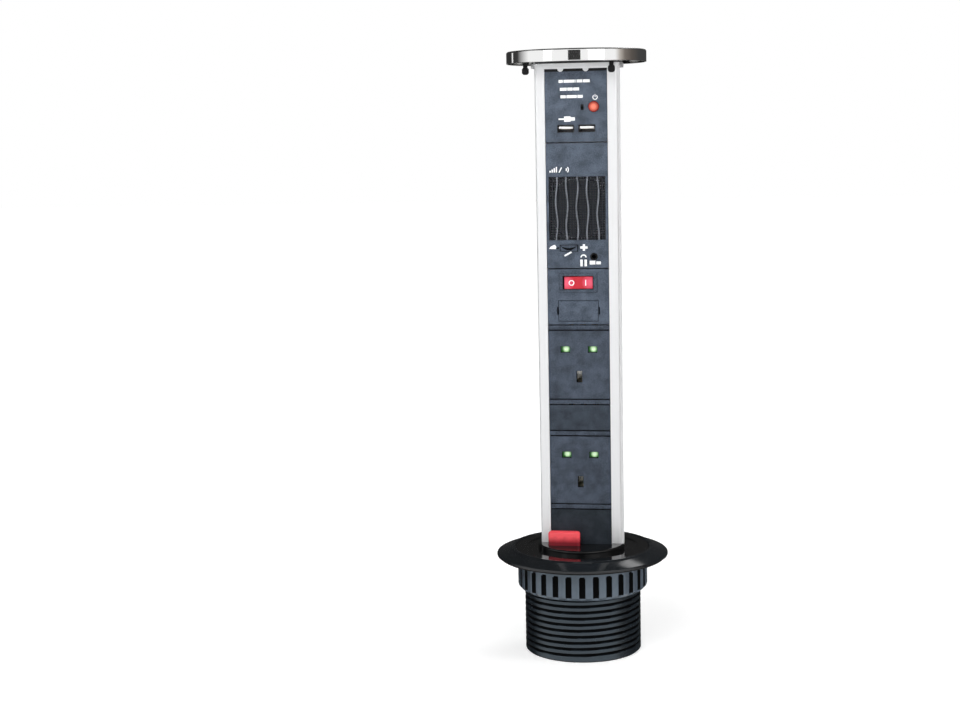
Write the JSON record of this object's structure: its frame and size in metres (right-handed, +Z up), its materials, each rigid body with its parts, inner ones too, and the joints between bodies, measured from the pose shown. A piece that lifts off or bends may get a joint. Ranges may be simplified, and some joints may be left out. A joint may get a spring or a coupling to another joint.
{
  "type": "pop up desk socket",
  "caption": "Pull-up power tower in a flanged worktop collar, with three-pin sockets, USB ports, a speaker and a switch on a slate front under a round steel cap.",
  "frame": {"origin": "on the column's axis, level with the worktop that the gasket lies on", "axes": "+Z up along the column, -Y the front with the sockets, +X to the viewer's right"},
  "size_m": [0.14, 0.14, 0.4865],
  "materials": {
    "collar_black": "glossy black moulding",
    "deck_black": "polished black moulding",
    "nut_black": "satin black moulding",
    "guide_grey": "plain dark grey moulding",
    "seal_rubber": "matt black rubber",
    "spring_steel": "bright wire",
    "zinc_steel": "zinc plated",
    "column_aluminium": "satin silver anodised",
    "cap_steel": "polished stainless steel",
    "panel_slate": "matt blue-grey charcoal with a fine grain",
    "control_black": "satin black",
    "signal_red": "clear red moulding",
    "button_red": "satin red moulding",
    "power_orange": "clear orange-red moulding",
    "shutter_green": "bright green moulding",
    "block_cream": "plain cream moulding",
    "contact_brass": "plain brass",
    "usb_steel": "tinned steel",
    "board_green": "solder mask",
    "mesh_black": "black perforated sheet",
    "cone_paper": "dark pressed paper",
    "magnet_grey": "ferrite with plated plates",
    "fuse_ceramic": "white ceramic with plated ends"
  },
  "bodies": {
    "collar": {"collar_housing": "collar_black", "flange_gasket": "seal_rubber", "deck_insert": "deck_black", "deck_screws": "zinc_steel", "column_guide": "guide_grey", "release_spring": "spring_steel", "latch_spring": "spring_steel"},
    "column": {"column_profile": "column_aluminium", "head_plate": "column_aluminium", "head_screws": "zinc_steel", "cap_hub": "guide_grey", "cap_disc": "cap_steel", "cap_bumpers": "seal_rubber", "foot_cap": "guide_grey", "foot_screws": "zinc_steel", "cord_gland": "seal_rubber", "terminal_block": "block_cream", "bus_bars": "contact_brass", "usb_faceplate": "panel_slate", "usb_shells": "usb_steel", "usb_tongues": "control_black", "charger_board": "board_green", "power_switch": "control_black", "indicator_lens": "control_black", "speaker_faceplate": "panel_slate", "grille_mesh": "mesh_black", "speaker_frame": "guide_grey", "speaker_cone": "cone_paper", "speaker_magnet": "magnet_grey", "amplifier_board": "board_green", "volume_switch": "block_cream", "headphone_jack": "control_black", "switch_faceplate": "panel_slate", "rocker_case": "control_black", "fuse_holder": "control_black", "fuse_clips": "contact_brass", "socket_faceplate_upper": "panel_slate", "socket_faceplate_lower": "panel_slate", "shutter_spring_upper": "spring_steel", "shutter_spring_lower": "spring_steel", "contact_block_upper": "block_cream", "contact_block_lower": "block_cream", "contacts_upper": "contact_brass", "contacts_lower": "contact_brass", "blank_plate_middle": "panel_slate", "blank_plate_lower": "panel_slate"},
    "washer": {"clamp_washer": "guide_grey"},
    "nut": {"lock_nut": "nut_black"},
    "release": {"release_button": "button_red"},
    "latch": {"latch_bolt": "zinc_steel"},
    "power": {"power_button": "power_orange"},
    "rocker_paddle": {"rocker": "signal_red"},
    "volume": {"volume_key": "control_black"},
    "shutter_one": {"shutter_upper": "shutter_green"},
    "shutter_two": {"shutter_lower": "shutter_green"},
    "fuse_drawer": {"fuse_carrier": "panel_slate", "fuse": "fuse_ceramic"}
  },
  "joints": [
    {"name": "column_slide", "type": "slide", "parent": "collar", "child": "column", "axis": [0, 0, 1], "range_m": [-0.383, 0]},
    {"name": "nut_turn", "type": "hinge", "parent": "washer", "child": "nut", "pos_m": [0, 0, -0.014], "axis": [0, 0, 1], "range_deg": [-3240, 0]},
    {"name": "washer_slide", "type": "slide", "parent": "collar", "child": "washer", "axis": [0, 0, 1], "range_m": [-0.0455, 0]},
    {"name": "release_press", "type": "slide", "parent": "collar", "child": "release", "axis": [0, 0, 1], "range_m": [-0.005, 0], "stiffness_N_per_m": 800, "deforming": ["release_spring"]},
    {"name": "latch_slide", "type": "slide", "parent": "collar", "child": "latch", "axis": [0, 1, 0], "range_m": [-0.00305, 0], "deforming": ["latch_spring"]},
    {"name": "power_press", "type": "slide", "parent": "column", "child": "power", "axis": [0, 1, 0], "range_m": [0, 0.0012], "stiffness_N_per_m": 700},
    {"name": "rocker_tip", "type": "hinge", "parent": "column", "child": "rocker_paddle", "pos_m": [0, -0.003, 0.22512], "axis": [0, 0, 1], "range_deg": [-14, 0]},
    {"name": "volume_tip", "type": "hinge", "parent": "column", "child": "volume", "pos_m": [-0.007, -0.0013, 0.253], "axis": [0, 0, 1], "range_deg": [-3, 3], "stiffness_Nm_per_rad": 0.1},
    {"name": "shutter_upper_slide", "type": "slide", "parent": "column", "child": "shutter_one", "axis": [0, 0, 1], "range_m": [0, 0.0065], "stiffness_N_per_m": 150, "deforming": ["shutter_spring_upper"]},
    {"name": "shutter_lower_slide", "type": "slide", "parent": "column", "child": "shutter_two", "axis": [0, 0, 1], "range_m": [0, 0.0065], "stiffness_N_per_m": 150, "deforming": ["shutter_spring_lower"]},
    {"name": "fuse_pull", "type": "slide", "parent": "column", "child": "fuse_drawer", "axis": [0, -1, 0], "range_m": [0, 0.016]}
  ],
  "couplings": [
    {"joint": "washer_slide", "follows": "nut_turn", "m_per_rad": 0.00079577},
    {"joint": "latch_slide", "follows": "release_press", "ratio": 0.6}
  ]
}
